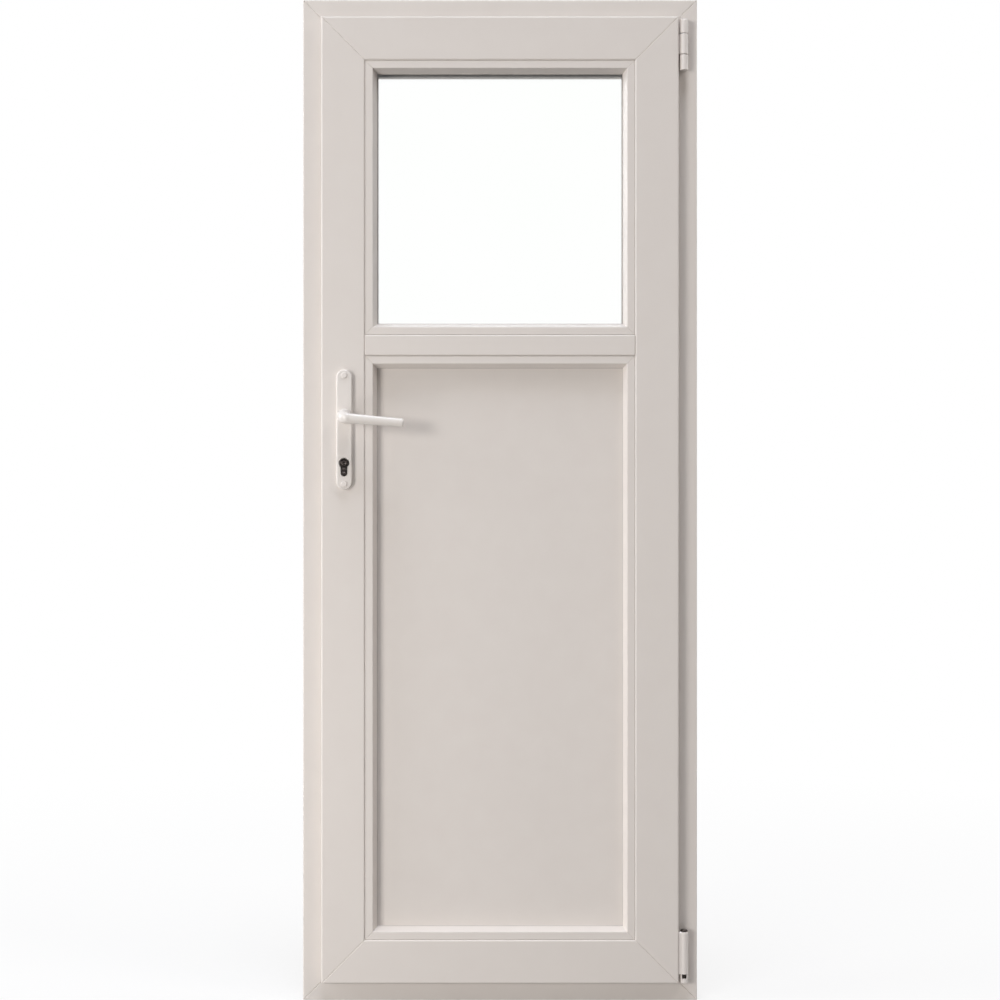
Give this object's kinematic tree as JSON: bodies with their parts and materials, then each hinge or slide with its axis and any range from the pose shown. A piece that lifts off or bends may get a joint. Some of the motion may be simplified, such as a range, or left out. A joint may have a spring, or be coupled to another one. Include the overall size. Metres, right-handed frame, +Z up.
{
  "type": "half-glazed pvc service door",
  "caption": "White PVC door in its frame: inward-opening leaf with a glazed upper light, plain lower panel, lever handles on long plates, lock cylinder and side hinges.",
  "frame": {"origin": "on the underside of the sill, at the middle of the frame's width and depth", "axes": "+X to the right and towards the hinges as seen from the room, +Y from the room to the outside, +Z up"},
  "size_m": [0.788, 0.1746, 2],
  "materials": {
    "white_pvc": "extruded, satin",
    "white_panel": "smooth, satin",
    "white_coated_aluminium": "powder coated",
    "white_hinge_cover": "moulded",
    "clear_glass": "float, clear",
    "grey_seal": "matte",
    "dark_nickel": "dark plated",
    "bright_steel": "zinc plated",
    "spacer_aluminium": "mill"
  },
  "bodies": {
    "frame": {"frame_head": "white_pvc", "frame_sill": "white_pvc", "frame_lock_jamb": "white_pvc", "frame_hinge_jamb": "white_pvc", "frame_seal": "grey_seal", "strike_plate": "bright_steel", "sill_drain_caps": "white_hinge_cover", "upper_hinge_frame_knuckles": "white_hinge_cover", "upper_hinge_pin": "bright_steel", "lower_hinge_cup": "white_hinge_cover", "lower_hinge_pin": "dark_nickel"},
    "leaf": {"leaf_top_rail": "white_pvc", "leaf_bottom_rail": "white_pvc", "leaf_lock_stile": "white_pvc", "leaf_hinge_stile": "white_pvc", "leaf_mid_rail": "white_pvc", "leaf_seal": "grey_seal", "glass_bead_bottom": "white_pvc", "glass_bead_left": "white_pvc", "glass_bead_top": "white_pvc", "glass_bead_right": "white_pvc", "glass_seals": "grey_seal", "panel_bead_bottom": "white_pvc", "panel_bead_left": "white_pvc", "panel_bead_top": "white_pvc", "panel_bead_right": "white_pvc", "panel_seals": "grey_seal", "glass_room_pane": "clear_glass", "glass_outer_pane": "clear_glass", "glass_spacer": "spacer_aluminium", "lower_panel": "white_panel", "inside_handle_plate": "white_coated_aluminium", "outside_handle_plate": "white_coated_aluminium", "plate_screw_caps": "white_hinge_cover", "lock_cylinder": "dark_nickel", "cylinder_plugs": "dark_nickel", "lock_faceplate": "bright_steel", "latch_bolt": "bright_steel", "dead_bolt": "bright_steel", "upper_hinge_leaf_knuckle": "white_hinge_cover", "lower_hinge_sleeve": "white_hinge_cover", "lower_hinge_core": "dark_nickel"},
    "handle": {"inside_lever": "white_coated_aluminium", "outside_lever": "white_coated_aluminium", "handle_spindle": "bright_steel"}
  },
  "joints": [
    {"name": "leaf_swing", "type": "hinge", "parent": "frame", "child": "leaf", "pos_m": [0.3665, -0.047, 1], "axis": [0, 0, 1], "range_deg": [0, 110]},
    {"name": "handle_turn", "type": "hinge", "parent": "leaf", "child": "handle", "pos_m": [-0.309, -0.022, 1.165], "axis": [0, 1, 0], "range_deg": [0, 40], "stiffness_Nm_per_rad": 2, "springref_deg": -17.19}
  ]
}
